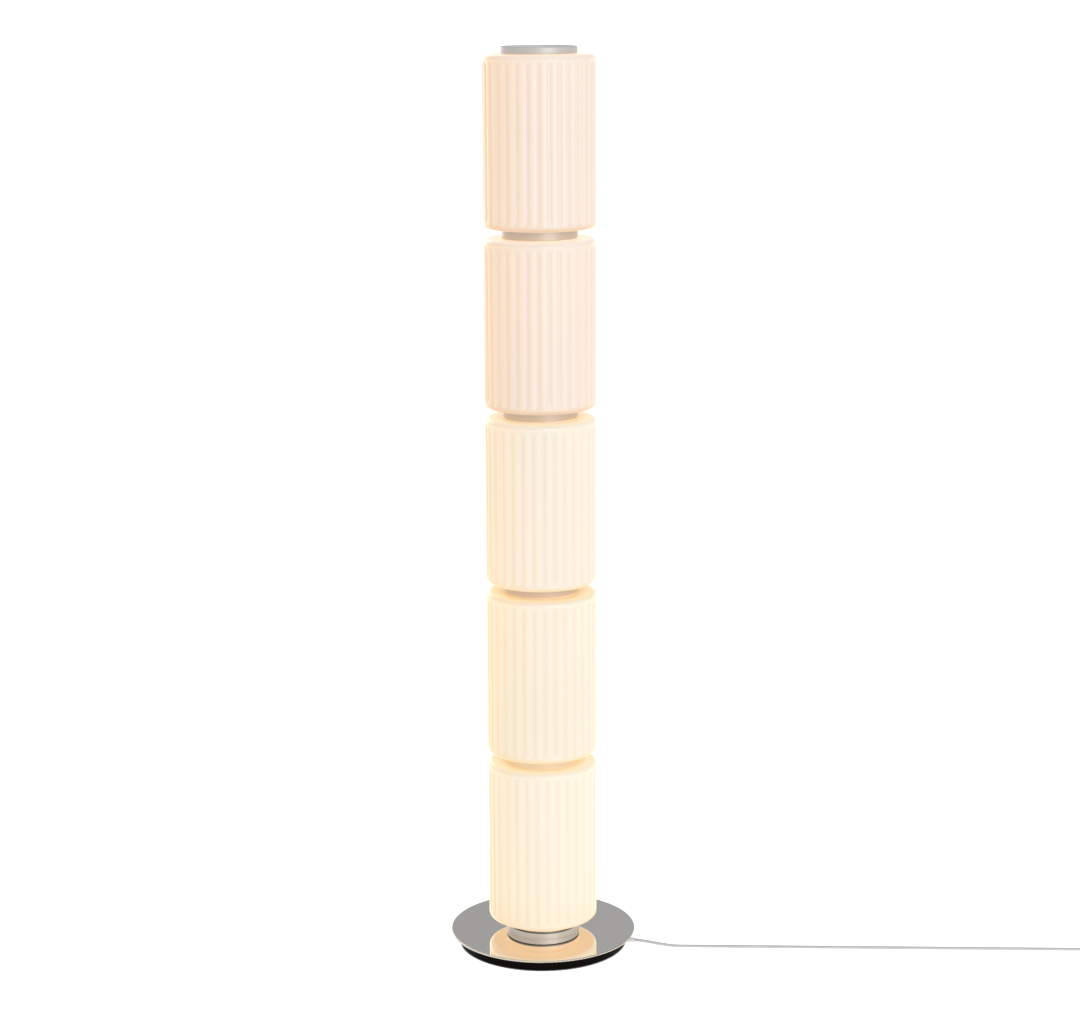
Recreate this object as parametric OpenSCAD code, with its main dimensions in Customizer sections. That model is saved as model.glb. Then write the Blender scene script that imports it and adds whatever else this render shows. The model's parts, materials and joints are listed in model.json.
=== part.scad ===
// Column floor lamp: five fluted opal glass shades stacked round one mast and
// parted by brushed aluminium rings, on a mirror-polished disc and a cast plinth.
// Millimetres, Z up. The origin is on the floor, under the axis of the mast.
// Shade 1 is the top one, and ring, gaskets, carrier and heat sink of the same
// number belong to it.

/* [Base] */
// Diameter of the mirror-polished disc
disc_d = 300; // [260:2:340]
// Thickness of the disc
disc_t = 3; // [2:0.5:5]
// Rounding of the disc's rim
disc_edge_r = 0.8; // [0.3:0.1:0.9]
// Diameter of the cast plinth
plinth_d = 272; // [240:2:300]
// Height of the plinth
plinth_h = 19; // [18:0.5:26]
// Rounding of the plinth's lower edge
plinth_edge_r = 2; // [0.5:0.5:4]
// Distance from the plinth's side to the floor pad
pad_inset = 7; // [4:0.5:12]
// Width of the floor pad ring
pad_w = 12; // [8:0.5:20]
// Depth of the groove that holds the floor pad
pad_groove = 2; // [1:0.25:2.5]
// Height by which the pad stands out below the plinth
pad_proud = 1; // [0.5:0.25:3]
// Diameter of the wiring pocket under the plinth
pocket_d = 96; // [90:2:130]
// Metal left above the wiring pocket
pocket_roof = 8; // [7:0.5:9]
// Thickness of the sheet that covers the pocket
cover_t = 1.2; // [0.8:0.1:2]
// Width of the rebate that the cover sheet lies in
cover_lap = 7; // [6:0.5:9]
// Diameter of the three cover screws
cover_screw_d = 3; // [2.5:0.5:4]

/* [Mast] */
// Outer diameter of the mast tube
mast_d = 16; // [12:0.5:20]
// Wall of the mast tube
mast_wall = 1.5; // [1:0.25:2.5]
// Diameter of the foot flange
flange_d = 76; // [70:1:84]
// Thickness of the foot flange
flange_t = 4; // [3:0.5:5]
// Wall of the flange's hub round the mast
flange_hub_wall = 6; // [4:0.5:8]
// Diameter of the circle of foot screws
foot_screw_pcd = 58; // [54:1:60]
// Shank diameter of the foot screws
foot_screw_d = 5; // [4:0.5:6]
// Height of the nuts on the mast
nut_h = 6; // [4:0.5:7]
// Distance across the flats of the nuts
nut_af = 24; // [23:0.5:27]
// Thickness of the washers under the nuts
washer_t = 1.5; // [1:0.25:2]
// Diameter of the washers under the nuts
washer_d = 30; // [28:1:34]

/* [Shades] */
// Diameter over the ribs of a shade
shade_d = 175; // [160:1:200]
// Height of one shade
shade_h = 264; // [220:1:300]
// Wall of the glass behind a flute
glass_t = 4; // [3:0.5:5]
// Diameter of the opening at each end of a shade
neck_d = 94; // [90:1:98]
// Rounding of the opening's edge
neck_edge_r = 1.4; // [0.6:0.1:1.4]
// Rounding between the side and the ends of a shade
shoulder_r = 7; // [5:0.5:10]
// Number of ribs round a shade
rib_count = 32; // [24:2:36]
// Radius of one rib
rib_r = 11; // [10:0.5:13]
// Depth of the flutes between the ribs
flute_depth = 2.2; // [1.5:0.1:2.6]
// Height over which the flutes run out towards the shoulders
runout_h = 14; // [8:1:20]

/* [Rings] */
// Outer diameter of the rings, the foot ring and the cap
ring_d = 118; // [116:1:122]
// Wall of the rings
ring_wall = 3; // [2:0.25:3.5]
// Height of a ring between two shades
ring_h = 13.5; // [11:0.5:20]
// Height of the lowest ring
low_ring_h = 11.5; // [10:0.5:16]
// Height of the foot ring on the disc
foot_ring_h = 9; // [8:0.5:14]
// Thickness of the ledge inside the foot ring
foot_ledge_t = 2.5; // [2:0.25:3]
// Rounding of the rings' edges
ring_edge_r = 0.6; // [0.2:0.1:1]
// Thickness of the gaskets at the glass
gasket_t = 1.5; // [1:0.25:2.5]
// Distance from the ring's outside to the gasket
gasket_inset = 1.5; // [0.5:0.25:2]

/* [Carriers] */
// Height of the lips that centre the glass
lip_h = 4; // [2:0.5:6]
// Wall of the lips
lip_wall = 3; // [2:0.5:4]
// Clearance between a lip and the glass
lip_gap = 1; // [0.5:0.25:1.5]
// Number of spokes
spoke_count = 3; // [3:1:5]
// Width of a spoke
spoke_w = 12; // [8:1:16]
// Thickness of a spoke
spoke_t = 5; // [3:0.5:7]
// Wall of the hub round the mast
hub_wall = 6; // [4:0.5:7]

/* [Light core] */
// Distance from the mast's axis to the flats of a heat sink
sink_flat = 15; // [13:0.5:18]
// Height by which a heat sink is shorter than its shade
sink_slack = 6; // [5:0.5:20]
// Radius of the grooves along the heat sink's corners
sink_groove_r = 2; // [1:0.25:2.5]
// Width of a light board
board_w = 11; // [8:0.5:12]
// Thickness of a light board
board_t = 1.2; // [0.8:0.1:2]
// Distance from the ends of a heat sink to its boards
board_end = 8; // [4:0.5:14]
// Width of the light-giving bead along a board
bead_w = 4; // [3:0.25:5]
// Diameter of a lead in the mast
lead_d = 2.4; // [2:0.1:3]
// Diameter of the holes that lead the wires out of the mast
lead_hole_d = 5; // [3:0.5:6]

/* [Cap] */
// Height of the cap
cap_h = 10; // [10:0.5:16]
// Wall of the cap
cap_wall = 2.4; // [1.5:0.1:3]
// Thickness of the cap's top
cap_top_t = 1.8; // [1.2:0.1:2.2]
// Depth of the recess in the cap's top
cap_recess = 1.2; // [0.5:0.1:1.5]
// Width of the raised lip round the cap's recess
cap_lip = 1.6; // [1:0.1:3]
// Thickness of the end plate
end_plate_t = 2.5; // [2:0.25:3]
// Depth of the end plate's dish
end_dish = 5; // [4.5:0.5:6]

/* [Cord] */
// Diameter of the cord
cord_d = 5; // [4:0.25:6]
// Height of the cord's way out above the plinth's underside
cord_exit_h = 8.5; // [8:0.25:9.5]
// Direction in which the cord leaves, in degrees from the right towards the front
cord_bearing = 11; // [5:1:20]
// Diameter of the gland in the plinth
gland_d = 11; // [9:0.5:12]
// Length of the gland inside the plinth
gland_in = 9; // [6:0.5:12]
// Length of the gland's taper outside the plinth
gland_out = 15; // [12:0.5:20]
// Clearance round the cord in the gland and in the plinth
cord_gap = 0.2; // [0.1:0.05:0.4]
// Turns side by side in one layer of the coil
coil_wide = 4; // [3:1:5]
// Layers in the coil
coil_layers = 2; // [2:1:3]
// Diameter of the coil at the middle of its turns
coil_mid_d = 60; // [54:1:66]

/* [Foot switch] */
// Length of the switch housing
switch_l = 78; // [70:1:90]
// Width of the switch housing
switch_w = 38; // [36:1:44]
// Height of the lower shell
switch_low_h = 10; // [10:0.5:13]
// Height of the upper shell
switch_top_h = 11; // [9:0.5:14]
// Wall of the shells
switch_wall = 2; // [1.5:0.25:2.5]
// Rounding of the shells' edges
switch_r = 5; // [3:0.5:6]
// Diameter of the button
button_d = 24; // [20:0.5:26]
// Height of the button above the housing
button_proud = 3.5; // [3:0.25:5]
// Travel of the button
button_travel = 2.5; // [1.5:0.25:2.5]
// Clearance between the button and its hole
button_gap = 0.3; // [0.2:0.05:0.5]
// Length of the tapered strain reliefs on the switch
switch_relief_l = 20; // [20:1:26]

/* [Plug] */
// Length of the plug's body
plug_l = 35; // [32:0.5:40]
// Width of the plug's body
plug_w = 35; // [33:0.5:38]
// Thickness of the plug's body
plug_t = 14; // [13:0.5:16]
// Length of a pin
pin_l = 19; // [18:0.5:20]
// Diameter of a pin
pin_d = 4; // [3.5:0.1:4.5]
// Distance between the pins
pin_gap = 18.6; // [17:0.1:20]
// Length of the plug's tapered strain relief
plug_relief_l = 30; // [24:1:36]

/* [Hidden] */
$fn = 96;
eps = 0.01;
shade_count = 5;
numbers = [1 : shade_count];
foot_screw_count = 4;
cover_screw_count = 3;
// Turn of each shade about the mast, as assembled
shade_turn = [-1, -2, 2.5, 2.5, 4.5];

// Levels of the base
plinth_z = pad_proud;
disc_z = plinth_z + plinth_h;
seat_z = disc_z + disc_t;
roof_z = disc_z - pocket_roof;

// Levels of the stack, by shade number
stack_z = seat_z + foot_ring_h + gasket_t;
glass_low_z = stack_z + low_ring_h + gasket_t;
joint_h = ring_h + 2 * gasket_t;
function glass_z(i) = glass_low_z + (shade_count - i) * (shade_h + joint_h);
function ring_height(i) = i == shade_count ? low_ring_h : ring_h;
function ring_z(i) = glass_z(i) - gasket_t - ring_height(i);
end_z = glass_z(1) + shade_h + gasket_t;

// Radii that mate
ring_r = ring_d / 2;
bore_r = ring_r - ring_wall;
fit_gap = 0.1;
rim_r = bore_r - fit_gap;
neck_r = neck_d / 2;
lip_r = neck_r - lip_gap;
lip_in_r = lip_r - lip_wall;
gasket_r = ring_r - gasket_inset;
gasket_in_r = neck_r + neck_edge_r;
mast_r = mast_d / 2;
mast_in_r = mast_r - mast_wall;
slip_r = mast_r + fit_gap;
shade_r = shade_d / 2;
valley_r = shade_r - flute_depth;
cavity_r = valley_r - glass_t;
sink_h = shade_h - sink_slack;
sink_corner_r = sink_flat / cos(30);
pocket_r = pocket_d / 2;
cover_r = pocket_r + cover_lap;

// Ends of the mast, with the thread that stands out of each nut
thread_end = 1;
mast_low_z = roof_z - washer_t - nut_h - thread_end;
mast_top_z = end_z - end_dish + end_plate_t + nut_h + thread_end;

// Screws
cover_screw_l = 8.2;
cover_head_h = 0.6;
cover_head_ratio = 1.8;
foot_head_ratio = 2;
foot_screw_short = 0.5;
drive_ratio = 0.6;

// Terminal block and the cord inside the base
block_l = 28;
block_w = 18;
block_low_z = plinth_z + cover_t + 1.8;
block_h = roof_z - block_low_z;
block_r = 33;
block_face_r = block_r + block_w / 2;
block_hole_d = 3.2;
block_hole_gap = 8;
cord_r = cord_d / 2;
cord_z = plinth_z + cord_exit_h;
gland_tip_r = plinth_d / 2 + gland_out;
gland_root_step = 0.8;
gland_tip_wall = 1;

// Foot switch
switch_at = [959, -62, 0];
switch_axis_z = 5.5;
switch_h = switch_low_h + switch_top_h;
button_r = button_d / 2;
button_edge_r = 2;
guide_wall = 1.5;
guide_h = 6;
guide_z = switch_h - switch_wall - guide_h;
stop_t = 1.5;
stop_gap = 0.2;
relief_root_r = 4.2;
relief_wall = 0.8;
relief_tip_r = cord_r + relief_wall;
relief_stop = 2;
relief_half = switch_l / 2 + switch_relief_l;
contact_l = 20;
contact_w = 14;

// Coil and plug, placed from the switch
coil_outer_r = coil_mid_d / 2 + coil_wide * cord_d / 2;
coil_inner_r = coil_mid_d / 2 - coil_wide * cord_d / 2;
coil_turn_r = coil_outer_r - cord_r;
coil_at = switch_at + [relief_half + 27, coil_turn_r, 0];
plug_tip = coil_at + [-12, coil_turn_r, plug_t / 2];
pin_seat = 5;

// Points that steer the cord, from the gland down to the floor, up to the switch,
// and down from the switch to the coil
cord_start = [gland_tip_r * cos(cord_bearing), -gland_tip_r * sin(cord_bearing), cord_z];
cord_ahead = [cos(cord_bearing), -sin(cord_bearing), 0];
land_at = [cord_start.x + 74, cord_start.y - 10, cord_r];
switch_way_in = switch_at + [-relief_half, 0, switch_axis_z];
switch_way_out = switch_at + [relief_half, 0, switch_axis_z];
rise_at = [switch_way_in.x - 38, switch_way_in.y + 0.8, cord_r];
run_ahead = unit(rise_at - land_at);
coil_way_in = [coil_at.x - 9, switch_at.y, cord_r];
cord_sides = 8;

// A washer or ring with square edges
module flat_ring(r, in_r, h) {
    linear_extrude(h) difference() {
        circle(r);
        circle(in_r);
    }
}

// Half of a section with rounded outer corners, from the axis outwards
module round_half(r, h, e) {
    square([r - e, h]);
    translate([0, e]) square([r, h - 2 * e]);
    for (z = [e, h - e]) translate([r - e, z]) circle(e);
}

// A turned ring with rounded outer edges
module turned_ring(r, in_r, h, e) {
    rotate_extrude() difference() {
        round_half(r, h, e);
        translate([-1, -1]) square([in_r + 1, h + 2]);
    }
}

// Puts children on a circle of the given radius
module around(count, r, turn = 0) {
    for (k = [0 : count - 1]) rotate(turn + k * 360 / count) translate([r, 0, 0]) children();
}

module at_foot_screws() {
    around(foot_screw_count, foot_screw_pcd / 2, 45) children();
}

module at_cover_screws() {
    around(cover_screw_count, pocket_r + cover_lap / 2, 90) children();
}

// Turns a thing that points along +X towards the cord's side of the base
module towards_cord() {
    rotate(-cord_bearing) children();
}

// ---------- base ----------

module floor_pad() {
    pad_r = plinth_d / 2 - pad_inset;
    color("#2b2b2b") flat_ring(pad_r - fit_gap, pad_r - pad_w + fit_gap, pad_groove + pad_proud);
}

module plinth_half() {
    difference() {
        round_half(plinth_d / 2, plinth_h, plinth_edge_r);
        translate([-1, -1]) square([pocket_r + 1, plinth_h - pocket_roof + 1]);
        translate([-1, -1]) square([cover_r + 1, cover_t + 1]);
        translate([-1, -1]) square([slip_r + 1, plinth_h + 2]);
        translate([plinth_d / 2 - pad_inset - pad_w, -1]) square([pad_w, pad_groove + 1]);
    }
}

module plinth() {
    color("#1d1a1a") difference() {
        translate([0, 0, plinth_z]) rotate_extrude() plinth_half();
        at_foot_screws() translate([0, 0, roof_z - 1]) cylinder(h = pocket_roof + 2, d = foot_screw_d);
        at_cover_screws() translate([0, 0, plinth_z]) cylinder(h = cover_screw_l + 1, d = cover_screw_d);
        towards_cord() translate([0, 0, cord_z]) rotate([0, 90, 0]) {
            cylinder(h = plinth_d, r = cord_r + cord_gap);
            translate([0, 0, plinth_d / 2 - gland_in]) cylinder(h = plinth_d, d = gland_d);
        }
    }
}

module base_disc() {
    color("#c9c9c6") translate([0, 0, disc_z]) difference() {
        rotate_extrude() difference() {
            round_half(disc_d / 2, disc_t, disc_edge_r);
            translate([-1, -1]) square([slip_r + 1, disc_t + 2]);
        }
        at_foot_screws() translate([0, 0, -1]) cylinder(h = disc_t + 2, d = foot_screw_d + 2 * fit_gap);
    }
}

module pocket_cover() {
    color("#3a3a3a") translate([0, 0, plinth_z]) difference() {
        cylinder(h = cover_t, r = cover_r - fit_gap);
        at_cover_screws() translate([0, 0, -1]) cylinder(h = cover_t + 2, d = cover_screw_d + 2 * fit_gap);
    }
}

// A pan head screw with its head at z = 0 and below, pointing up
module cover_screw() {
    difference() {
        union() {
            translate([0, 0, -cover_head_h]) cylinder(h = cover_head_h, d = cover_screw_d * cover_head_ratio);
            cylinder(h = cover_screw_l, d = cover_screw_d);
        }
        translate([0, 0, -1]) cylinder(h = 1, d = cover_screw_d * drive_ratio, $fn = 6);
    }
}

module cover_screws() {
    color("#6e6e6e") at_cover_screws() translate([0, 0, plinth_z]) cover_screw();
}

// ---------- mast and its foot ----------

module mast_tube() {
    color("#b9b9b6") difference() {
        translate([0, 0, mast_low_z]) flat_ring(mast_r, mast_in_r, mast_top_z - mast_low_z);
        for (i = numbers) translate([0, 0, ring_z(i) + ring_height(i) + sink_h + lead_hole_d / 2])
            rotate([90, 0, 0]) cylinder(h = mast_d, d = lead_hole_d);
    }
}

module foot_flange() {
    hub_top = stack_z - seat_z;
    color("#8f8f8c") translate([0, 0, seat_z]) difference() {
        union() {
            cylinder(h = flange_t, d = flange_d);
            cylinder(h = hub_top, r = mast_r + flange_hub_wall);
        }
        translate([0, 0, -1]) cylinder(h = hub_top + 2, r = slip_r);
        at_foot_screws() {
            translate([0, 0, -1]) cylinder(h = flange_t + 2, d = foot_screw_d + 2 * fit_gap);
            translate([0, 0, flange_t / 2]) foot_head(fit_gap, 1);
        }
    }
}

// The cone of a countersunk head; its seat is wider by a gap all round and cut a little higher
module foot_head(gap = 0, more = 0) {
    head_d = foot_screw_d * foot_head_ratio;
    spread = (head_d - foot_screw_d) / (flange_t / 2);
    cylinder(h = flange_t / 2 + more, d1 = foot_screw_d + 2 * gap, d2 = head_d + spread * more + 2 * gap);
}

// A countersunk screw whose head is flush with the flange
module foot_screw() {
    shank = flange_t + disc_t + pocket_roof - foot_screw_short;
    difference() {
        union() {
            translate([0, 0, -shank]) cylinder(h = shank, d = foot_screw_d);
            translate([0, 0, -flange_t / 2]) foot_head();
        }
        translate([0, 0, -flange_t / 2]) cylinder(h = flange_t, d = foot_screw_d * drive_ratio, $fn = 6);
    }
}

module foot_screws() {
    color("#6e6e6e") at_foot_screws() translate([0, 0, seat_z + flange_t]) foot_screw();
}

module foot_washer() {
    color("#8f8f8c") translate([0, 0, roof_z - washer_t]) flat_ring(washer_d / 2, mast_r, washer_t);
}

// A hexagon nut on the mast, standing on z = 0
module mast_nut() {
    color("#a08f60") difference() {
        cylinder(h = nut_h, r = nut_af / 2 / cos(30), $fn = 6);
        translate([0, 0, -1]) cylinder(h = nut_h + 2, r = mast_r);
    }
}

module foot_nut() {
    translate([0, 0, roof_z - washer_t - nut_h]) mast_nut();
}

module foot_ring() {
    color("#c6bdb4") translate([0, 0, seat_z]) union() {
        turned_ring(ring_r, bore_r, foot_ring_h, ring_edge_r);
        translate([0, 0, foot_ring_h - foot_ledge_t]) flat_ring(bore_r + eps, neck_r, foot_ledge_t);
    }
}

module foot_seal() {
    color("#3a332c") translate([0, 0, seat_z + foot_ring_h]) flat_ring(gasket_r, gasket_in_r, gasket_t);
}

// ---------- shades and what carries them ----------

module ring(i) {
    color("#cfc3ba") translate([0, 0, ring_z(i)])
        turned_ring(ring_r, bore_r, ring_height(i), ring_edge_r);
}

// Hub, spokes and rim in one casting, with lips that reach into the glass above and below
module carrier(i) {
    h = ring_height(i);
    color("#a9a9a6") translate([0, 0, ring_z(i)]) difference() {
        union() {
            flat_ring(rim_r, lip_in_r, h);
            translate([0, 0, -lip_h]) flat_ring(lip_r, lip_in_r, h + 2 * lip_h);
            cylinder(h = h, r = slip_r + hub_wall);
            translate([0, 0, (h - spoke_t) / 2]) around(spoke_count, 0, 90)
                translate([0, -spoke_w / 2, 0]) cube([lip_in_r + 1, spoke_w, spoke_t]);
        }
        translate([0, 0, -1]) cylinder(h = h + 2, r = slip_r);
    }
}

// Outline of the glass seen from above: ribs round the circle of the flutes
module fluted_outline() {
    circle(valley_r);
    for (k = [0 : rib_count - 1])
        rotate((k + 0.5) * 360 / rib_count) translate([shade_r - rib_r, 0]) circle(rib_r);
}

// Half section of the band at the lower end, in which the flutes run out
module runout_half() {
    sweep_r = (runout_h * runout_h + flute_depth * flute_depth) / (2 * flute_depth);
    difference() {
        square([shade_r, shoulder_r + runout_h]);
        translate([valley_r + sweep_r, shoulder_r + runout_h]) circle(sweep_r, $fn = 360);
    }
}

// Half section of the hollow, with the fire-rounded edges of both openings
module hollow_half() {
    translate([0, glass_t]) round_half(cavity_r, shade_h - 2 * glass_t, shoulder_r - 2);
    translate([0, -1]) square([neck_r, shade_h + 2]);
    for (s = [0, 1]) translate([0, s * shade_h]) mirror([0, s]) difference() {
        translate([0, -1]) square([neck_r + neck_edge_r, neck_edge_r + 1]);
        translate([neck_r + neck_edge_r, neck_edge_r]) circle(neck_edge_r);
    }
}

module shade(i) {
    color("#fbeedd") translate([0, 0, glass_z(i)]) rotate(-90 + shade_turn[i - 1]) difference() {
        intersection() {
            rotate_extrude() round_half(shade_r, shade_h, shoulder_r);
            union() {
                linear_extrude(shade_h) fluted_outline();
                rotate_extrude() runout_half();
                translate([0, 0, shade_h]) mirror([0, 0, 1]) rotate_extrude() runout_half();
            }
        }
        rotate_extrude() hollow_half();
    }
}

module gaskets(i) {
    color("#d8cab8") for (z = [-gasket_t, shade_h])
        translate([0, 0, glass_z(i) + z]) flat_ring(gasket_r, gasket_in_r, gasket_t);
}

// ---------- light core ----------

module heat_sink(i) {
    color("#b4b4b2") translate([0, 0, ring_z(i) + ring_height(i)]) linear_extrude(sink_h) difference() {
        circle(sink_corner_r, $fn = 6);
        circle(slip_r);
        for (k = [0 : 5]) rotate(k * 60) translate([sink_corner_r, 0]) circle(sink_groove_r);
    }
}

// Six boards, one on each flat, each with a bead that gives the light
module light_boards(i) {
    color("#f2e3b0") translate([0, 0, ring_z(i) + ring_height(i) + board_end])
        for (k = [0 : 5]) rotate(30 + k * 60) linear_extrude(sink_h - 2 * board_end)
            translate([sink_flat, 0]) {
                translate([0, -board_w / 2]) square([board_t, board_w]);
                intersection() {
                    translate([board_t, 0]) circle(bead_w / 2);
                    translate([0, -bead_w]) square([2 * bead_w, 2 * bead_w]);
                }
            }
}

module mast_leads() {
    color("#d8d2c4") for (s = [-1, 1])
        translate([s * (mast_in_r - lead_d / 2 - fit_gap), 0, mast_low_z])
            cylinder(h = glass_z(1) + sink_h - mast_low_z, d = lead_d);
}

// ---------- top ----------

module end_plate() {
    color("#a9a9a6") translate([0, 0, end_z]) difference() {
        union() {
            flat_ring(ring_r - cap_wall - fit_gap, lip_in_r, end_plate_t);
            translate([0, 0, -end_dish]) flat_ring(lip_r, lip_in_r, end_dish + end_plate_t);
            translate([0, 0, -end_dish]) cylinder(h = end_plate_t, r = lip_r);
        }
        translate([0, 0, -end_dish - 1]) cylinder(h = end_dish + 2, r = slip_r);
    }
}

module end_nut() {
    translate([0, 0, end_z - end_dish + end_plate_t]) mast_nut();
}

// A turned cup, its top let in a little behind a raised lip
module top_cap() {
    color("#c4c0bb") translate([0, 0, end_z]) rotate_extrude() difference() {
        round_half(ring_r, cap_h, ring_edge_r);
        translate([-1, -1]) square([ring_r - cap_wall + 1, cap_h - cap_recess - cap_top_t + 1]);
        translate([-1, cap_h - cap_recess]) square([ring_r - cap_lip + 1, cap_recess + 1]);
    }
}

// ---------- wiring in the base ----------

module terminal_block() {
    color("#e6e2d6") towards_cord() translate([block_r, 0, block_low_z]) difference() {
        translate([-block_w / 2, -block_l / 2, 0]) cube([block_w, block_l, block_h]);
        for (y = [-1, 0, 1]) for (x = [-0.5, 0.5])
            translate([x * block_hole_gap, y * block_hole_gap, -1])
                cylinder(h = block_h / 2 + 1, d = block_hole_d);
    }
}

module base_cord() {
    color("#d9d9d6") towards_cord() translate([block_face_r, 0, cord_z]) rotate([0, 90, 0])
        cylinder(h = gland_tip_r - block_face_r, r = cord_r);
}

module cord_gland() {
    color("#d0d0cc") towards_cord() translate([plinth_d / 2 - gland_in, 0, cord_z]) rotate([0, 90, 0])
        difference() {
            union() {
                cylinder(h = gland_in, d = gland_d - 2 * fit_gap);
                translate([0, 0, gland_in])
                    cylinder(h = gland_out, r1 = gland_d / 2 - gland_root_step, r2 = cord_r + gland_tip_wall);
            }
            translate([0, 0, -1]) cylinder(h = gland_in + gland_out + 2, r = cord_r + fit_gap / 2);
        }
}

// ---------- cord on the floor ----------

function unit(v) = v / norm(v);

// A bend from a to d that leaves a along ahead_a and reaches d along ahead_d, without its last point
function bend(a, ahead_a, d, ahead_d, count) =
    let (pull = norm(d - a) / 3, b = a + pull * ahead_a, c = d - pull * ahead_d)
    [for (k = [0 : count - 1]) let (t = k / count, u = 1 - t)
        u * u * u * a + 3 * u * u * t * b + 3 * u * t * t * c + t * t * t * d];

// A straight run from a to b, without its last point
function straight(a, b, count) = [for (k = [0 : count - 1]) a + (b - a) * k / count];

function cord_line() = concat(
    bend(cord_start, cord_ahead, land_at, run_ahead, 14),
    straight(land_at, rise_at, 12),
    bend(rise_at, run_ahead, switch_way_in, [1, 0, 0], 8),
    [switch_way_in]);

function tail_line() = concat(bend(switch_way_out, [1, 0, 0], coil_way_in, [1, 0, 0], 8), [coil_way_in]);

function before(line, k) = line[max(k - 1, 0)];
function after(line, k) = line[min(k + 1, len(line) - 1)];
function heading(line, k) = unit(after(line, k) - before(line, k));

// One ring of the tube's skin, square to the line
function skin_ring(line, k, r, sides) =
    let (ahead = heading(line, k), side = unit(cross(ahead, [0, 0, 1])), up = cross(side, ahead))
    [for (j = [0 : sides - 1]) line[k] + r * (cos(j * 360 / sides) * up + sin(j * 360 / sides) * side)];

module swept_tube(line, r, sides) {
    count = len(line);
    points = [for (k = [0 : count - 1]) each skin_ring(line, k, r, sides)];
    skin = [
        for (k = [0 : count - 2]) for (j = [0 : sides - 1])
            let (n = (j + 1) % sides)
            [k * sides + j, k * sides + n, (k + 1) * sides + n, (k + 1) * sides + j]
    ];
    first = [for (j = [sides - 1 : -1 : 0]) j];
    last = [for (j = [0 : sides - 1]) (count - 1) * sides + j];
    polyhedron(points = points, faces = concat(skin, [first, last]), convexity = 10);
}

module power_cord() {
    color("#d9d9d6") swept_tube(cord_line(), cord_r, cord_sides);
}

module cord_tail() {
    color("#d9d9d6") swept_tube(tail_line(), cord_r, cord_sides);
}

module cord_coil() {
    color("#d9d9d6") translate(coil_at)
        turned_ring(coil_outer_r, coil_inner_r, coil_layers * cord_d, cord_r / 2);
}

// ---------- foot switch ----------

// A long body with round ends, from the half section given as its child
module long_round(l, w) {
    straight = l - w;
    for (s = [-1, 1]) translate([s * straight / 2, 0, 0]) rotate_extrude() children();
    rotate([90, 0, 90]) translate([0, 0, -straight / 2]) linear_extrude(straight) {
        children();
        mirror([1, 0]) children();
    }
}

// Half section of a tray with a rounded foot
module tray_half(r, h, e) {
    intersection() {
        round_half(r, h + 2 * e, e);
        square([r, h]);
    }
}

module shell_tray(h) {
    difference() {
        long_round(switch_l, switch_w) tray_half(switch_w / 2, h, switch_r);
        translate([0, 0, switch_wall]) long_round(switch_l - 2 * switch_wall, switch_w - 2 * switch_wall)
            tray_half(switch_w / 2 - switch_wall, h, switch_r - switch_wall);
    }
}

module switch_base() {
    color("#d0d0cc") translate(switch_at) difference() {
        shell_tray(switch_low_h);
        translate([-switch_l, 0, switch_axis_z]) rotate([0, 90, 0])
            cylinder(h = 2 * switch_l, r = relief_root_r + fit_gap);
    }
}

module switch_cover() {
    hole_r = button_r + button_gap;
    color("#d0d0cc") translate(switch_at) difference() {
        union() {
            translate([0, 0, switch_h]) mirror([0, 0, 1]) shell_tray(switch_top_h);
            translate([0, 0, guide_z]) cylinder(h = guide_h + 1, r = hole_r + guide_wall);
        }
        translate([0, 0, guide_z - 1]) cylinder(h = switch_h, r = hole_r);
    }
}

// A cup with a stop ring at its foot, held under the guide of the upper shell
module switch_button() {
    top_z = switch_h + button_proud;
    stop_z = guide_z - stop_gap - stop_t;
    color("#bdbdb9") translate(switch_at + [0, 0, stop_z]) difference() {
        union() {
            translate([0, 0, top_z - stop_z]) mirror([0, 0, 1])
                rotate_extrude() tray_half(button_r, top_z - stop_z, button_edge_r);
            cylinder(h = stop_t, r = button_r + button_gap + guide_wall);
        }
        translate([0, 0, -1]) cylinder(h = top_z - stop_z - button_edge_r + 1, r = button_r - guide_wall);
    }
}

// The contact block, low enough for the button's full travel
module switch_block() {
    block_top = guide_z - stop_gap - stop_t - button_travel - button_gap;
    color("#3a3a3a") translate(switch_at + [-contact_l / 2, -contact_w / 2, switch_wall])
        cube([contact_l, contact_w, block_top - switch_wall]);
}

// One strain relief, its root at x = 0, pointing along +X
module relief(l, root) {
    rotate([0, 90, 0]) difference() {
        union() {
            translate([0, 0, -root]) cylinder(h = root, r = relief_root_r);
            cylinder(h = l, r1 = relief_root_r, r2 = relief_tip_r);
        }
        translate([0, 0, -root - 1]) cylinder(h = l + root + 1 - relief_stop, r = cord_r + fit_gap);
    }
}

module switch_reliefs() {
    color("#c4c4c0") translate(switch_at + [0, 0, switch_axis_z]) for (s = [0, 180])
        rotate(s) translate([switch_l / 2, 0, 0]) relief(switch_relief_l, switch_wall + 1);
}

// ---------- plug ----------

// Two-pole plug: the waisted plan crossed with the side view
module plug_body() {
    color("#d9d9d6") translate(plug_tip) mirror([1, 0, 0]) {
        rotate([0, 90, 0]) cylinder(h = plug_relief_l, r1 = relief_tip_r, r2 = relief_root_r);
        translate([plug_relief_l, 0, 0]) difference() {
            intersection() {
                translate([0, 0, -plug_t / 2]) linear_extrude(plug_t) plug_plan();
                rotate([90, 0, 0]) translate([0, 0, -plug_w / 2]) linear_extrude(plug_w)
                    widening(plug_t * 0.36, plug_t / 2, plug_l * 0.25);
            }
            for (y = [-1, 1]) translate([plug_l - pin_seat, y * pin_gap / 2, 0])
                rotate([0, 90, 0]) cylinder(h = pin_seat + 1, d = pin_d);
        }
    }
}

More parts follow.
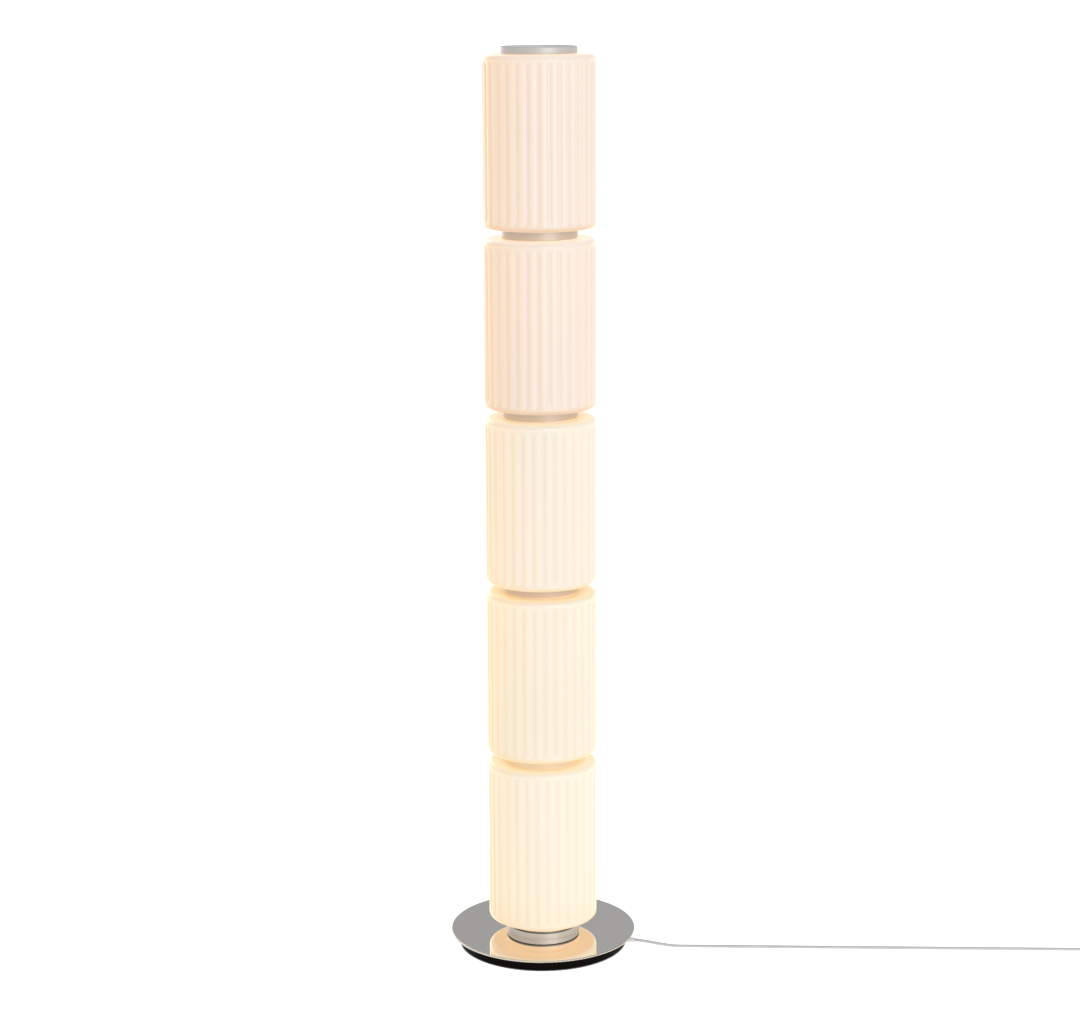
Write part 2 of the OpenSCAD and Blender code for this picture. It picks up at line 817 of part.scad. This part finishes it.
// Outline that starts narrow at x = 0 and is full from the given length on
module widening(narrow, full, taper_l) {
    polygon([[0, -narrow], [0, narrow], [taper_l, full], [plug_l, full], [plug_l, -full], [taper_l, -full]]);
}

// The finger hollows are cut out of both sides
module plug_plan() {
    difference() {
        widening(plug_w * 0.17, plug_w / 2, plug_l * 0.6);
        for (s = [-1, 1]) translate([plug_l * 0.22, s * plug_w * 0.675]) circle(plug_w * 0.375);
    }
}

module plug_pins() {
    color("#c9b26b") translate(plug_tip) mirror([1, 0, 0]) for (y = [-1, 1])
        translate([plug_relief_l + plug_l - pin_seat, y * pin_gap / 2, 0]) rotate([0, 90, 0]) {
            cylinder(h = pin_seat + pin_l - pin_d / 2, d = pin_d);
            translate([0, 0, pin_seat + pin_l - pin_d / 2]) sphere(d = pin_d);
        }
}

floor_pad();
plinth();
base_disc();
pocket_cover();
cover_screws();
mast_tube();
foot_flange();
foot_screws();
foot_washer();
foot_nut();
foot_ring();
foot_seal();
for (i = numbers) {
    ring(i);
    carrier(i);
    shade(i);
    gaskets(i);
    heat_sink(i);
    light_boards(i);
}
end_plate();
end_nut();
top_cap();
terminal_block();
mast_leads();
base_cord();
cord_gland();
power_cord();
switch_base();
switch_cover();
switch_button();
switch_block();
switch_reliefs();
cord_tail();
cord_coil();
plug_body();
plug_pins();
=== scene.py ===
import json
import math
import bpy
from mathutils import Matrix, Vector


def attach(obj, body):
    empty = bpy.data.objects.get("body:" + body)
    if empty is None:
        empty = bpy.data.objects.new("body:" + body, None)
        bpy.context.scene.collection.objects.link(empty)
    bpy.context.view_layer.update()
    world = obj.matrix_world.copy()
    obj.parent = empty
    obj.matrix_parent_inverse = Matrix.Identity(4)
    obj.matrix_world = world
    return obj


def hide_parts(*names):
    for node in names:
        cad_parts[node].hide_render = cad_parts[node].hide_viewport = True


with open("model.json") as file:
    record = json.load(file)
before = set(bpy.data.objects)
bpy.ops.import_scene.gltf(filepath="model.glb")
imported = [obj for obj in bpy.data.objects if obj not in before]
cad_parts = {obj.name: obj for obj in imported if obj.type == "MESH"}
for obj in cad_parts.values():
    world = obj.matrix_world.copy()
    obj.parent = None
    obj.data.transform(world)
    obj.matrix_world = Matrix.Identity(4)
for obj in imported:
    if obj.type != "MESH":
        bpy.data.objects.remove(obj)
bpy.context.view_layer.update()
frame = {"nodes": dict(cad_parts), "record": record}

# Column floor lamp in metres, Z up, with the floor at Z = 0 and the viewer at -Y.

nodes = frame["nodes"]
scene = bpy.context.scene
scene.view_settings.view_transform = "Standard"
shadeCount = 5
print("frame loaded with", len(nodes), "nodes")


cameraView = {
    "pictureWidth": 1080,
    "focalPixels": 2532.5,     # focal length in pixels of that picture
    "sensorWidth": 36,
    "distance": 3.91494,
    "height": 1.57607,
    "pitchDown": 0.21415,      # radians, as are the turn and the roll
    "turn": -0.0004,
    "roll": -0.00511,
    "sightEnd": 1000,
}


def makeCamera(view):
    data = bpy.data.cameras.new("studioCamera")
    data.sensor_fit = "HORIZONTAL"
    data.sensor_width = view["sensorWidth"]
    data.lens = view["sensorWidth"] * view["focalPixels"] / view["pictureWidth"]
    data.clip_end = view["sightEnd"]
    pitch, turn, roll = view["pitchDown"], view["turn"], view["roll"]
    ahead = Vector((math.sin(turn) * math.cos(pitch), math.cos(turn) * math.cos(pitch), -math.sin(pitch)))
    right = Vector((math.cos(turn), -math.sin(turn), 0))
    up = right.cross(ahead)
    side = right * math.cos(roll) + up * math.sin(roll)
    top = up * math.cos(roll) - right * math.sin(roll)
    camera = bpy.data.objects.new("studioCamera", data)
    scene.collection.objects.link(camera)
    turned = Matrix((side, top, -ahead)).transposed().to_4x4()
    camera.matrix_world = Matrix.Translation((0, -view["distance"], view["height"])) @ turned
    scene.camera = camera


makeCamera(cameraView)
print("camera placed")


# The cord runs from the gland over the floor to the foot switch, and from there to the coil and the plug

cord = {
    "radius": 0.0025,
    "bevelSteps": 5,             # how round the tube is
    "glandTip": 0.151,           # distance of the gland's tip from the mast's axis
    "bearing": math.radians(11),
    "exitHeight": 0.0095,
    "landing": (0.074, -0.010),  # from the gland's tip to where the cord lies down
    "switchPlace": Vector((0.959, -0.062, 0)),
    "switchAxis": 0.0055,
    "switchHalf": 0.059,         # half the switch with its strain reliefs
    "rising": (-0.038, 0.0008),  # from the switch back to where the cord leaves the floor
    "tailLanding": 0.009,        # how far before the coil the tail lies down
    "coilOut": 0.0375,           # radius of the outermost turn's middle
    "coilIn": 0.0225,
    "coilPlace": Vector((1.045, -0.0245, 0)),
    "coilDip": 0.0009,           # how far the climbing turn leans inwards
    "windings": 3,               # turns from the outside to the inside, in each layer
    "climb": 0.5,                # turns from the lower layer up to the upper one
    "pointsPerTurn": 36,
    "plugTip": Vector((1.033, 0.013, 0.007)),
    "length": 0.754,
    "tailLength": 1.238,
    "pointCounts": {"exit": 14, "run": 12, "rise": 8, "tail": 8, "landed": 3, "plug": 4},
}


def bendPoints(start, startAhead, end, endAhead, count):
    pull = (end - start).length / 3
    second, third = start + startAhead * pull, end - endAhead * pull
    points = []
    for step in range(count):
        t = step / count
        u = 1 - t
        points.append(start * u ** 3 + second * 3 * u * u * t + third * 3 * u * t * t + end * t ** 3)
    return points


def straightPoints(start, end, count):
    return [start.lerp(end, step / count) for step in range(count)]


def floorCordPoints(plan):
    counts = plan["pointCounts"]
    ahead = Vector((math.cos(plan["bearing"]), -math.sin(plan["bearing"]), 0))
    start = ahead * plan["glandTip"] + Vector((0, 0, plan["exitHeight"]))
    land = Vector((start.x + plan["landing"][0], start.y + plan["landing"][1], plan["radius"]))
    wayIn = plan["switchPlace"] + Vector((-plan["switchHalf"], 0, plan["switchAxis"]))
    rise = Vector((wayIn.x + plan["rising"][0], wayIn.y + plan["rising"][1], plan["radius"]))
    run = (rise - land).normalized()
    points = bendPoints(start, ahead, land, run, counts["exit"])
    points += straightPoints(land, rise, counts["run"])
    points += bendPoints(rise, run, wayIn, Vector((1, 0, 0)), counts["rise"])
    return points + [wayIn]


def coilPoints(plan):
    # In along the lower layer, up while leaning inwards, and out along the upper layer
    thick = plan["radius"] * 2
    windings, climb, steps = plan["windings"], plan["climb"], plan["pointsPerTurn"]
    points = []
    for step in range(int((2 * windings + climb) * steps) + 1):
        turn = step / steps
        if turn < windings:
            r, z = plan["coilOut"] - thick * turn, plan["radius"]
        elif turn < windings + climb:
            share = (turn - windings) / climb
            r = plan["coilIn"] - plan["coilDip"] * math.sin(math.pi * share)
            z = plan["radius"] + thick * (share * share * (3 - 2 * share))
        else:
            r, z = plan["coilIn"] + thick * (turn - windings - climb), plan["radius"] + thick
        angle = 2 * math.pi * turn - math.pi / 2
        points.append(plan["coilPlace"] + Vector((r * math.cos(angle), r * math.sin(angle), z)))
    return points


def tailCordPoints(plan):
    counts = plan["pointCounts"]
    wayOut = plan["switchPlace"] + Vector((plan["switchHalf"], 0, plan["switchAxis"]))
    coil = coilPoints(plan)
    landed = Vector((coil[0].x - plan["tailLanding"], coil[0].y, plan["radius"]))
    right, left = Vector((1, 0, 0)), Vector((-1, 0, 0))
    points = bendPoints(wayOut, right, landed, right, counts["tail"])
    points += straightPoints(landed, coil[0], counts["landed"])
    points += coil[:-1]
    points += bendPoints(coil[-1], left, plan["plugTip"], left, counts["plug"])
    return points + [plan["plugTip"]]


def makeTube(name, points, plan):
    curve = bpy.data.curves.new(name, "CURVE")
    curve.dimensions = "3D"
    curve.bevel_depth = 1.0      # each point's own radius then gives the tube's
    curve.bevel_resolution = plan["bevelSteps"]
    curve.use_fill_caps = True
    spline = curve.splines.new("POLY")
    spline.points.add(len(points) - 1)
    for place, point in zip(spline.points, points):
        place.co = (*point, 1)
        place.radius = plan["radius"]
    spline.use_smooth = True
    tube = bpy.data.objects.new(name, curve)
    scene.collection.objects.link(tube)
    return tube


def pathLength(points):
    return sum((b - a).length for a, b in zip(points, points[1:]))


floorPath = floorCordPoints(cord)
tailPath = tailCordPoints(cord)
floorCord = makeTube("floorCord", floorPath, cord)
tailCord = makeTube("tailCord", tailPath, cord)
print("cord laid:", round(pathLength(floorPath), 4), "and", round(pathLength(tailPath), 4), "m")

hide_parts("power_cord")
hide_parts("cord_tail", "cord_coil")
for piece in (floorCord, tailCord):
    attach(piece, "lamp")


noiseReach = (0.3, 0.7)     # most of a noise lies between these two


def feed(tree, socket, value):
    # The value is a number, a colour or another node's socket
    if isinstance(value, bpy.types.NodeSocket):
        tree.links.new(value, socket)
    elif socket.type == "RGBA":
        socket.default_value = (*value, 1)
    else:
        socket.default_value = value


def addNode(tree, kind, inputs=None, **settings):
    node = tree.nodes.new(kind)
    for key, value in settings.items():
        setattr(node, key, value)
    for key, value in (inputs or {}).items():
        feed(tree, node.inputs[key], value)
    return node


def startMaterial(name):
    material = bpy.data.materials.new(name)
    material.use_nodes = True
    tree = material.node_tree
    place = addNode(tree, "ShaderNodeTexCoord").outputs["Object"]
    return material, tree, tree.nodes["Principled BSDF"], place


def mixColours(tree, share, first, second):
    node = addNode(tree, "ShaderNodeMix", {0: share}, data_type="RGBA")
    feed(tree, node.inputs[6], first)      # 6 and 7 are a Mix node's colours, and 2 what comes of them
    feed(tree, node.inputs[7], second)
    return node.outputs[2]


def mathOf(tree, operation, *values):
    return addNode(tree, "ShaderNodeMath", dict(enumerate(values)), operation=operation).outputs[0]


def mapRange(tree, value, low, high, toLow=0.0, toHigh=1.0, smooth=False):
    return addNode(tree, "ShaderNodeMapRange",
                   {"Value": value, "From Min": low, "From Max": high, "To Min": toLow, "To Max": toHigh},
                   interpolation_type="SMOOTHSTEP" if smooth else "LINEAR").outputs["Result"]


def noiseOf(tree, place, scale, detail=3.0, stretch=(1, 1, 1)):
    stretched = addNode(tree, "ShaderNodeMapping", {"Vector": place, "Scale": stretch}).outputs["Vector"]
    inputs = {"Vector": stretched, "Scale": scale, "Detail": detail}
    return addNode(tree, "ShaderNodeTexNoise", inputs).outputs[0]


def spread(tree, noise, low=0.0, high=1.0):
    return mapRange(tree, noise, *noiseReach, low, high)


def heightOf(tree, place):
    return addNode(tree, "ShaderNodeSeparateXYZ", {"Vector": place}).outputs["Z"]


def radiusOf(tree, place):
    parts = addNode(tree, "ShaderNodeSeparateXYZ", {"Vector": place}).outputs
    flat = addNode(tree, "ShaderNodeCombineXYZ", {"X": parts["X"], "Y": parts["Y"]}).outputs[0]
    return addNode(tree, "ShaderNodeVectorMath", {0: flat}, operation="LENGTH").outputs["Value"]


def addGlow(material, shader, glow):
    feed(material.node_tree, shader.inputs["Emission Color"], glow)
    shader.inputs["Emission Strength"].default_value = 1.0
    material.cycles.emission_sampling = "NONE"


# A plain finish runs from dark to light by wide patches and a fine grain. The grain also gives the relief.

usualLook = {
    "metallic": 0.0,
    "anisotropic": 0.0,
    "specular": 0.5,
    "patchDetail": 3.0,
    "grainDetail": 4.0,
    "stretch": (1, 1, 1),    # of the grain
    "bump": 0.1,
    "relief": 0.0001,
}
looks = {
    # The gaskets' glow is painted light from the glass beside them.
    "pale_silicone": {
        "dark": (0.60, 0.50, 0.40), "light": (0.72, 0.63, 0.53), "glow": (0.25, 0.18, 0.12),
        "roughness": (0.5, 0.6), "patchScale": 40, "grainScale": 900},
    "black_plinth": {
        "dark": (0.0015, 0.0008, 0.0008), "light": (0.004, 0.0025, 0.0025), "specular": 0.03,
        "roughness": (0.40, 0.55), "patchScale": 12, "grainScale": 900, "bump": 0.2, "relief": 0.0002},
    "black_rubber": {
        "dark": (0.018, 0.015, 0.012), "light": (0.045, 0.038, 0.032),
        "roughness": (0.6, 0.8), "patchScale": 40, "grainScale": 1500, "bump": 0.2},
    "sheet_steel": {
        "dark": (0.20, 0.20, 0.20), "light": (0.34, 0.34, 0.34), "metallic": 1.0,
        "roughness": (0.35, 0.55), "patchScale": 25, "grainScale": 500},
    "fastener_steel": {
        "dark": (0.42, 0.42, 0.41), "light": (0.62, 0.62, 0.60), "metallic": 1.0,
        "roughness": (0.25, 0.4), "patchScale": 60, "grainScale": 700},
    "turned_steel": {
        "dark": (0.46, 0.46, 0.45), "light": (0.68, 0.68, 0.66), "metallic": 1.0, "bump": 0.15,
        "roughness": (0.22, 0.38), "anisotropic": 0.4, "patchScale": 20, "grainScale": 10,
        "stretch": (1, 1, 200)},
    "brass_nut": {
        "dark": (0.52, 0.40, 0.18), "light": (0.78, 0.62, 0.32), "metallic": 1.0,
        "roughness": (0.22, 0.36), "patchScale": 60, "grainScale": 600},
    "cast_aluminium": {
        "dark": (0.50, 0.50, 0.49), "light": (0.68, 0.68, 0.67), "metallic": 1.0,
        "roughness": (0.4, 0.6), "patchScale": 40, "grainScale": 900, "bump": 0.3, "relief": 0.0002},
    "extruded_aluminium": {
        "dark": (0.60, 0.60, 0.59), "light": (0.76, 0.76, 0.75), "metallic": 1.0, "bump": 0.15,
        "roughness": (0.28, 0.42), "patchScale": 30, "grainScale": 900, "stretch": (1, 1, 0.02)},
    "pale_cord": {
        "dark": (0.38, 0.38, 0.37), "light": (0.46, 0.46, 0.445),
        "roughness": (0.35, 0.5), "patchScale": 25, "grainScale": 1200},
    "pale_plastic": {
        "dark": (0.50, 0.50, 0.49), "light": (0.60, 0.60, 0.585),
        "roughness": (0.36, 0.5), "patchScale": 20, "grainScale": 1600, "bump": 0.15},
    "button_plastic": {
        "dark": (0.32, 0.32, 0.315), "light": (0.40, 0.40, 0.39),
        "roughness": (0.3, 0.42), "patchScale": 30, "grainScale": 1600},
    "block_plastic": {
        "dark": (0.62, 0.58, 0.50), "light": (0.78, 0.75, 0.68),
        "roughness": (0.4, 0.5), "patchScale": 30, "grainScale": 900},
    "dark_plastic": {
        "dark": (0.02, 0.02, 0.02), "light": (0.05, 0.05, 0.05),
        "roughness": (0.35, 0.5), "patchScale": 30, "grainScale": 900},
}


def finishSurface(tree, shader, place, changes):
    look = {**usualLook, **changes}
    wide = noiseOf(tree, place, look["patchScale"], look["patchDetail"])
    fine = noiseOf(tree, place, look["grainScale"], look["grainDetail"], look["stretch"])
    share = mathOf(tree, "MULTIPLY", spread(tree, wide), spread(tree, fine))
    feed(tree, shader.inputs["Base Color"], mixColours(tree, share, look["dark"], look["light"]))
    feed(tree, shader.inputs["Roughness"], spread(tree, fine, *look["roughness"]))
    shader.inputs["Metallic"].default_value = look["metallic"]
    shader.inputs["Anisotropic"].default_value = look["anisotropic"]
    shader.inputs["Specular IOR Level"].default_value = look["specular"]
    relief = {"Height": fine, "Strength": look["bump"], "Distance": look["relief"]}
    feed(tree, shader.inputs["Normal"], addNode(tree, "ShaderNodeBump", relief).outputs["Normal"])
    if look["anisotropic"]:
        turned = addNode(tree, "ShaderNodeTangent", direction_type="RADIAL", axis="Z").outputs["Tangent"]
        feed(tree, shader.inputs["Tangent"], turned)


def plainMaterial(name, look):
    material, tree, shader, place = startMaterial(name)
    finishSurface(tree, shader, place, look)
    # A look with a glow gets painted light, as on the gaskets.
    if "glow" in look:
        addGlow(material, shader, look["glow"])
    return material


# Brushed rings and the cap. Each has a painted glow standing for the light that the glass spills on its
# lower and its upper edge.

brushed = {
    "dark": (0.19, 0.175, 0.165), "light": (0.23, 0.215, 0.20), "metallic": 0.6, "anisotropic": 0.3,
    "roughness": (0.42, 0.50), "patchScale": 30, "grainScale": 14, "stretch": (1, 1, 160), "bump": 0.05,
}
spill = {
    "top_cap": ((0.32, 0.29, 0.265), (0.27, 0.28, 0.295)),
    "ring_1": ((0.41, 0.29, 0.18), (0.29, 0.21, 0.15)),
    "ring_2": ((0.45, 0.30, 0.17), (0.30, 0.21, 0.15)),
    "ring_3": ((0.50, 0.32, 0.18), (0.29, 0.19, 0.12)),
    "ring_4": ((0.67, 0.46, 0.24), (0.51, 0.35, 0.19)),
    "ring_5": ((0.0, 0.0, 0.0), (0.80, 0.52, 0.29)),
    "foot_ring": ((0.35, 0.31, 0.26), (0.38, 0.34, 0.285)),
}
paintedShadowFoot = {"ring_5": 0.0032}     # how far up from a ring's foot its painted glow is held back, leaving a painted shadow line


def makeRing(name, look, edges):
    material, tree, shader, place = startMaterial("brushed_" + name)
    finishSurface(tree, shader, place, look)
    levels = [corner[2] for corner in nodes[name].bound_box]
    low, high = min(levels), max(levels)
    # A listed ring gets a painted shadow line at its foot, where its painted glow starts from the lower
    # colour.
    if name in paintedShadowFoot:
        low, high = low + paintedShadowFoot[name] / 2, low + paintedShadowFoot[name]
    share = mapRange(tree, heightOf(tree, place), low, high, smooth=True)
    # The painted glow runs from the lower edge's colour up to the upper edge's colour.
    addGlow(material, shader, mixColours(tree, share, *edges))
    return material


mirrorSteel = {
    "dark": (0.84, 0.82, 0.78),
    "light": (0.90, 0.88, 0.84),
    "patchScale": 6.0,
    "roughness": (0.015, 0.035),
    "cutEdge": (0.54, 0.48, 0.40),
    "edgeRadius": (0.1489, 0.1495),
}


def makeMirrorSteel(look):
    material, tree, shader, place = startMaterial("mirror_steel")
    wide = noiseOf(tree, place, look["patchScale"])
    polished = mixColours(tree, wide, look["dark"], look["light"])
    onEdge = mapRange(tree, radiusOf(tree, place), *look["edgeRadius"])
    feed(tree, shader.inputs["Base Color"], mixColours(tree, onEdge, polished, look["cutEdge"]))
    feed(tree, shader.inputs["Roughness"], spread(tree, wide, *look["roughness"]))
    shader.inputs["Metallic"].default_value = 1.0
    return material


# Opal glass, lit from inside. It sends back cool light and lets warm light through.
# The glow has one colour for each shade, from the top; the shares are of a shade's height.

opalGlass = {
    "body": (0.05, 0.21, 0.35),
    "shadedLowBody": (0.06, 0.12, 0.14),       # darker at the lower edge, painted shade so that the bright floor below lights it less
    "roughness": (0.26, 0.38),
    "specular": 0.25,
    "height": 0.264,
    "lowest": 0.0465,                    # of the lowest shade
    "pitch": 0.2805,                     # from one shade to the next
    "fluteRadius": (0.0856, 0.0876),     # from the valleys to the crests
    "topRadius": (0.058, 0.078),
    "underShare": (0.0, 0.008),
    "lowShare": (0.005, 0.04),
    "topShare": (0.976, 0.998),
    "drift": (0.96, 1.04),               # slow change of the glow over the glass
    "driftScale": 9.0,
    "driftDetail": 2.0,
    "driftStretch": (1, 1, 0.35),
    # The valleys glow darker than the crests: partly the glass's own glow, partly painted shade of the
    # flutes.
    "crest": [(0.85, 0.48, 0.145), (0.85, 0.48, 0.145), (0.88, 0.545, 0.185),
              (0.89, 0.565, 0.18), (0.90, 0.59, 0.215)],
    "valley": [(0.83, 0.43, 0.115), (0.83, 0.43, 0.115), (0.86, 0.495, 0.155),
               (0.87, 0.51, 0.15), (0.88, 0.54, 0.185)],
    # The lower shoulder glows darker and warmer: partly the glass's own glow, partly painted shade where
    # it turns downwards.
    "low": [(0.77, 0.40, 0.16), (0.77, 0.40, 0.16), (0.86, 0.56, 0.26),
            (0.87, 0.57, 0.25), (0.90, 0.64, 0.40)],
    "under": [(0.78, 0.50, 0.32), (0.78, 0.50, 0.32), (0.80, 0.50, 0.31),
              (0.82, 0.50, 0.30), (0.88, 0.56, 0.30)],
    # Next to the ring the top face glows darker and warmer: partly the glass's own glow, partly painted
    # shade from the ring.
    "topInner": [(0.85, 0.57, 0.35), (0.85, 0.57, 0.35), (0.76, 0.44, 0.17),
                 (0.74, 0.37, 0.08), (0.78, 0.42, 0.11)],
    "topOuter": [(0.85, 0.58, 0.37), (0.85, 0.58, 0.37), (0.86, 0.58, 0.31),
                 (0.87, 0.55, 0.22), (0.89, 0.60, 0.28)],
}


def makeOpalGlass(number, look):
    material, tree, shader, place = startMaterial(f"opal_glass_{number}")
    foot = look["lowest"] + (shadeCount - number) * look["pitch"]
    height = mapRange(tree, heightOf(tree, place), foot, foot + look["height"])
    radius = radiusOf(tree, place)
    drift = noiseOf(tree, place, look["driftScale"], look["driftDetail"], look["driftStretch"])
    onCrest = mapRange(tree, radius, *look["fluteRadius"], smooth=True)
    onLow = mapRange(tree, height, *look["lowShare"], 1.0, 0.0, smooth=True)
    onUnder = mapRange(tree, height, *look["underShare"], 1.0, 0.0, smooth=True)
    onTop = mapRange(tree, height, *look["topShare"], smooth=True)
    outwards = mapRange(tree, radius, *look["topRadius"], smooth=True)
    crest, valley, low, under, inner, outer = (
        look[key][number - 1] for key in ("crest", "valley", "low", "under", "topInner", "topOuter"))
    # Darker valleys: partly the glass's own glow, partly painted shade of the flutes.
    glow = mixColours(tree, onCrest, valley, crest)
    # Darker lower shoulder: partly the glass's own glow, partly painted shade.
    glow = mixColours(tree, onLow, glow, low)
    glow = mixColours(tree, onUnder, glow, under)
    # Darker top face next to the ring: partly the glass's own glow, partly painted shade.
    glow = mixColours(tree, onTop, glow, mixColours(tree, outwards, inner, outer))
    feed(tree, shader.inputs["Emission Color"], glow)
    feed(tree, shader.inputs["Emission Strength"], spread(tree, drift, *look["drift"]))
    # The body darkens at the lower edge: painted shade.
    feed(tree, shader.inputs["Base Color"], mixColours(tree, onLow, look["body"], look["shadedLowBody"]))
    feed(tree, shader.inputs["Roughness"], spread(tree, drift, *look["roughness"]))
    shader.inputs["Specular IOR Level"].default_value = look["specular"]
    return material


lightBoard = {
    "board": (0.80, 0.78, 0.70),
    "bead": (0.95, 0.75, 0.35),
    "beadGlow": (1.0, 0.8, 0.5),
    "beadRadius": (0.0171, 0.0175),     # where the board ends and its bead begins
    "roughness": (0.35, 0.5),
    "grainScale": 300.0,
}


def makeLightBoard(look):
    material, tree, shader, place = startMaterial("light_board")
    onBead = mapRange(tree, radiusOf(tree, place), *look["beadRadius"])
    grain = noiseOf(tree, place, look["grainScale"])
    feed(tree, shader.inputs["Base Color"], mixColours(tree, onBead, look["board"], look["bead"]))
    feed(tree, shader.inputs["Roughness"], spread(tree, grain, *look["roughness"]))
    addGlow(material, shader, mixColours(tree, onBead, (0, 0, 0), look["beadGlow"]))
    return material


materials = {name: plainMaterial(name, look) for name, look in looks.items()}
materials["mirror_steel"] = makeMirrorSteel(mirrorSteel)
materials["light_board"] = makeLightBoard(lightBoard)
ringMaterials = {name: makeRing(name, brushed, edges) for name, edges in spill.items()}
glassMaterials = [makeOpalGlass(number, opalGlass) for number in range(1, shadeCount + 1)]


def materialOf(name, slotName):
    if slotName == "opal_glass":
        return glassMaterials[int(name[-1]) - 1]
    if slotName == "brushed_aluminium":
        return ringMaterials[name]
    return materials[slotName]


for entry in frame["record"]["subparts"]:
    name = entry["node"]
    nodes[name].data.materials.clear()
    nodes[name].data.materials.append(materialOf(name, entry["material_slot"]))
for piece in (floorCord, tailCord):
    piece.data.materials.append(materials["pale_cord"])
print("materials set")


studio = {
    "floorSize": 600,
    "floorGrey": (0.6, 0.6, 0.6),
    "floorRoughness": 0.9,
    "floorGlow": (1, 1, 1),
    "floorShine": 0.93,             # how bright the floor is by itself, so that it stays white
    "shade": (0.1345, 0.1375),      # where the floor goes from dark under the plinth to bright: a painted shadow under the plinth
    "horizon": (1, 1, 1),
    "band": (0.15, 0.30),           # how high the pale backdrop reaches before the sky turns grey
    "skyLow": (0.50, 0.50, 0.51),
    "skyHigh": (0.62, 0.62, 0.63),
    "skyRise": (0.0, 0.6),
    "brightWay": 0.2,               # the sky is brightest this way along X, a little to the viewer's right
    "strength": (1.15, 0.45),       # the sky there, and at the far left
    "backwards": (-0.2, 0.8),       # along Y, the sky grows dimmer between these two
    "behind": 0.68,                 # and how much of it is left behind the lamp
    "boxSize": (2.4, 2.6),
    "boxTarget": (0, 0, 0.8),
    "boxes": {
        "softBoxRight": {"place": (1.65, -3.25, 1.7), "power": 90},
        "softBoxBack": {"place": (-1.5, 3.2, 1.7), "power": 45},
    },
}


def makeFloor(look):
    half = look["floorSize"] / 2
    corners = [(-half, -half, 0), (half, -half, 0), (half, half, 0), (-half, half, 0)]
    mesh = bpy.data.meshes.new("studioFloor")
    mesh.from_pydata(corners, [], [(0, 1, 2, 3)])
    floor = bpy.data.objects.new("studioFloor", mesh)
    scene.collection.objects.link(floor)
    material, tree, shader, place = startMaterial("studio_floor")
    distance = addNode(tree, "ShaderNodeVectorMath", {0: place}, operation="LENGTH").outputs["Value"]
    addGlow(material, shader, look["floorGlow"])
    # The floor's own glow fades out under the plinth: a painted shadow.
    shine = mapRange(tree, distance, *look["shade"], 0.0, look["floorShine"], smooth=True)
    feed(tree, shader.inputs["Emission Strength"], shine)
    feed(tree, shader.inputs["Base Color"], look["floorGrey"])
    shader.inputs["Roughness"].default_value = look["floorRoughness"]
    shader.inputs["Specular IOR Level"].default_value = 0.0
    mesh.materials.append(material)


def makeSky(look):
    world = bpy.data.worlds.new("studioSky")
    world.use_nodes = True
    tree = world.node_tree
    place = addNode(tree, "ShaderNodeTexCoord").outputs["Generated"]
    parts = addNode(tree, "ShaderNodeSeparateXYZ", {"Vector": place}).outputs
    rise = mapRange(tree, parts["Z"], *look["skyRise"])
    grey = mixColours(tree, rise, look["skyLow"], look["skyHigh"])
    away = mathOf(tree, "ABSOLUTE", mathOf(tree, "SUBTRACT", parts["X"], look["brightWay"]))
    sideways = mapRange(tree, away, 0.0, 1.0 + look["brightWay"], *look["strength"])
    backwards = mapRange(tree, parts["Y"], *look["backwards"], 1.0, look["behind"], smooth=True)
    strength = mathOf(tree, "MULTIPLY", sideways, backwards)
    sky = addNode(tree, "ShaderNodeVectorMath", {0: grey, "Scale": strength}, operation="SCALE").outputs[0]
    above = mapRange(tree, parts["Z"], *look["band"], smooth=True)
    feed(tree, tree.nodes["Background"].inputs["Color"], mixColours(tree, above, look["horizon"], sky))
    scene.world = world


def makeSoftBox(name, place, power, look):
    data = bpy.data.lights.new(name, "AREA")
    data.shape = "RECTANGLE"
    data.size, data.size_y = look["boxSize"]
    data.energy = power
    light = bpy.data.objects.new(name, data)
    scene.collection.objects.link(light)
    light.location = place
    light.rotation_euler = (Vector(look["boxTarget"]) - Vector(place)).to_track_quat("-Z", "Y").to_euler()


makeFloor(studio)
makeSky(studio)
for name, box in studio["boxes"].items():
    makeSoftBox(name, box["place"], box["power"], studio)
print("studio lit")
